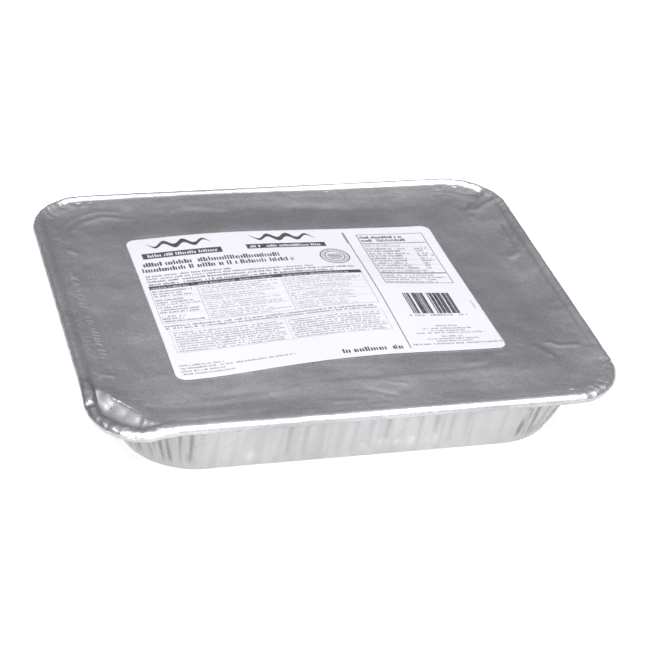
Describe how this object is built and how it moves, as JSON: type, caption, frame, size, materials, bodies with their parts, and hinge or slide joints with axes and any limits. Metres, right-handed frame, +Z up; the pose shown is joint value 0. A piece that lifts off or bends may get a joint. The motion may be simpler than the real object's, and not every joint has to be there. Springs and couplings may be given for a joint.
{
  "type": "foil tray meal",
  "caption": "Family-size ready meal in a shut, fluted aluminium foil tray with a crimped foil lid and a paper label stuck on it.",
  "frame": {"origin": "middle of the base, on the surface that the tray stands on", "axes": "+X along the tray's length, +Y across it towards the top of the label, +Z up"},
  "size_m": [0.324, 0.264, 0.0486],
  "materials": {
    "tray_foil": "bright rolled foil, fluted",
    "lid_foil": "dull side of rolled foil, softly wrinkled",
    "label_paper": "coated white paper with black and grey print"
  },
  "bodies": {
    "root": {"tray": "tray_foil", "lid": "lid_foil", "label": "label_paper"}
  },
  "joints": []
}
